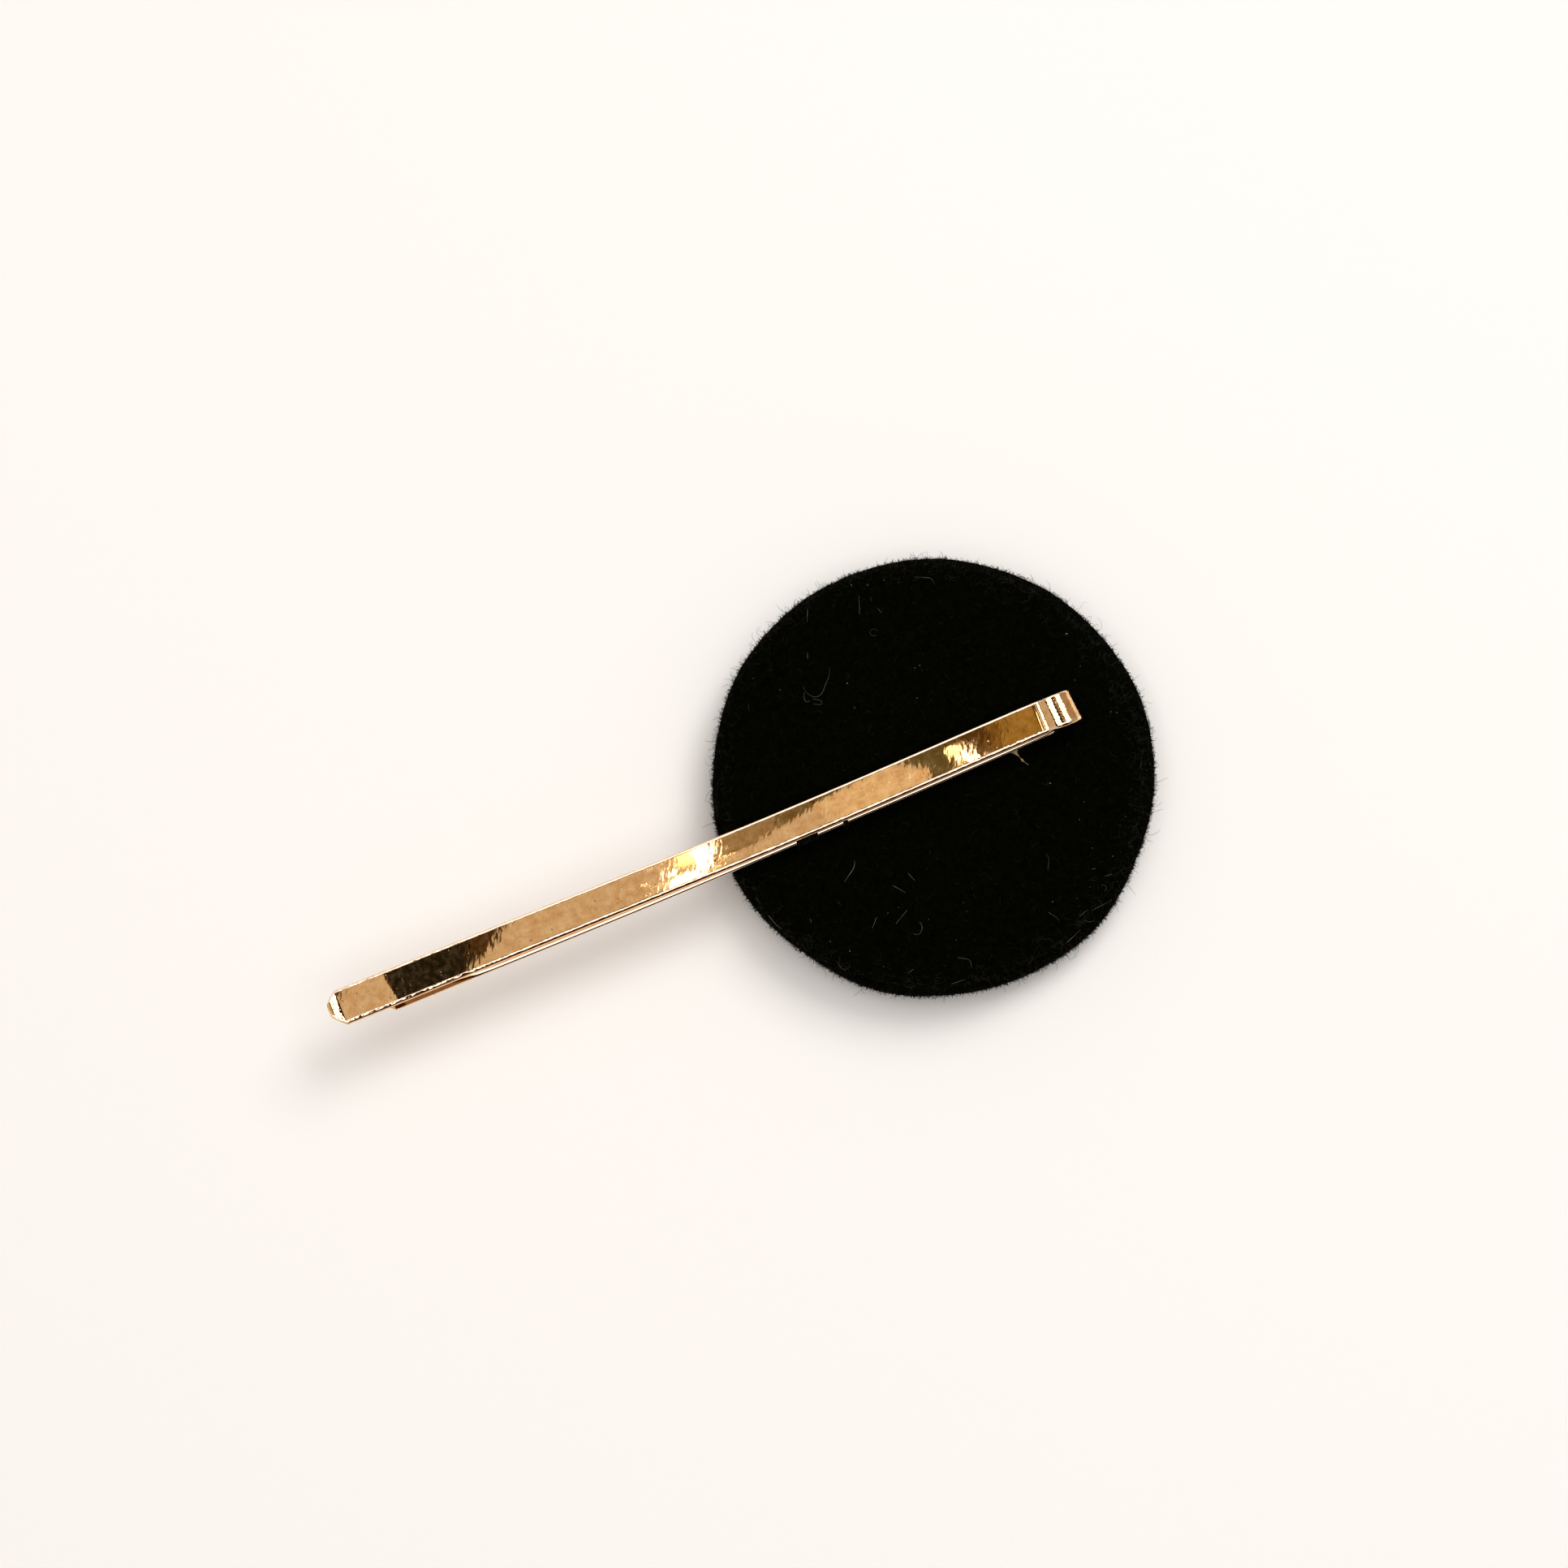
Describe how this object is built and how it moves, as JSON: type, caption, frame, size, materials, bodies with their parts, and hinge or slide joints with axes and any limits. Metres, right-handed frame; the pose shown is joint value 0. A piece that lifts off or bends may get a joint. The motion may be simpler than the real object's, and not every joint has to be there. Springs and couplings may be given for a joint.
{
  "type": "hairpin",
  "caption": "Flat gold spring hairpin fastened across the back of a round black felt-covered ornament, with a free leg that springs open to take a lock of hair.",
  "frame": {"origin": "centre of the ornament's flat front face, which lies on the table", "axes": "+X runs along the pin towards its eye, +Z points out of the ornament's back, where the pin is fastened, and +Y completes the right hand"},
  "size_m": [0.0705, 0.036, 0.0084],
  "materials": {
    "black_felt": "matte",
    "wadding": "matte",
    "greyboard": "matte",
    "hot_melt_glue": "gloss",
    "sewing_thread": "satin",
    "gold_plated_spring_steel": "polished"
  },
  "bodies": {
    "ornament": {"cover_felt": "black_felt", "padding": "wadding", "core_disc": "greyboard", "back_glue": "hot_melt_glue", "backing_felt": "black_felt", "glue_bead": "hot_melt_glue", "thread_wrap": "sewing_thread", "fixed_leg": "gold_plated_spring_steel", "spring_eye": "gold_plated_spring_steel"},
    "free_leg": {"free_leg": "gold_plated_spring_steel"}
  },
  "joints": [
    {"name": "leg_flex", "type": "hinge", "parent": "ornament", "child": "free_leg", "pos_m": [0.01106, 0.0002, 0.00694], "axis": [0, 1, 0], "range_deg": [0, 12], "stiffness_Nm_per_rad": 0.38, "springref_deg": -1.72, "deforming": ["spring_eye"]}
  ]
}
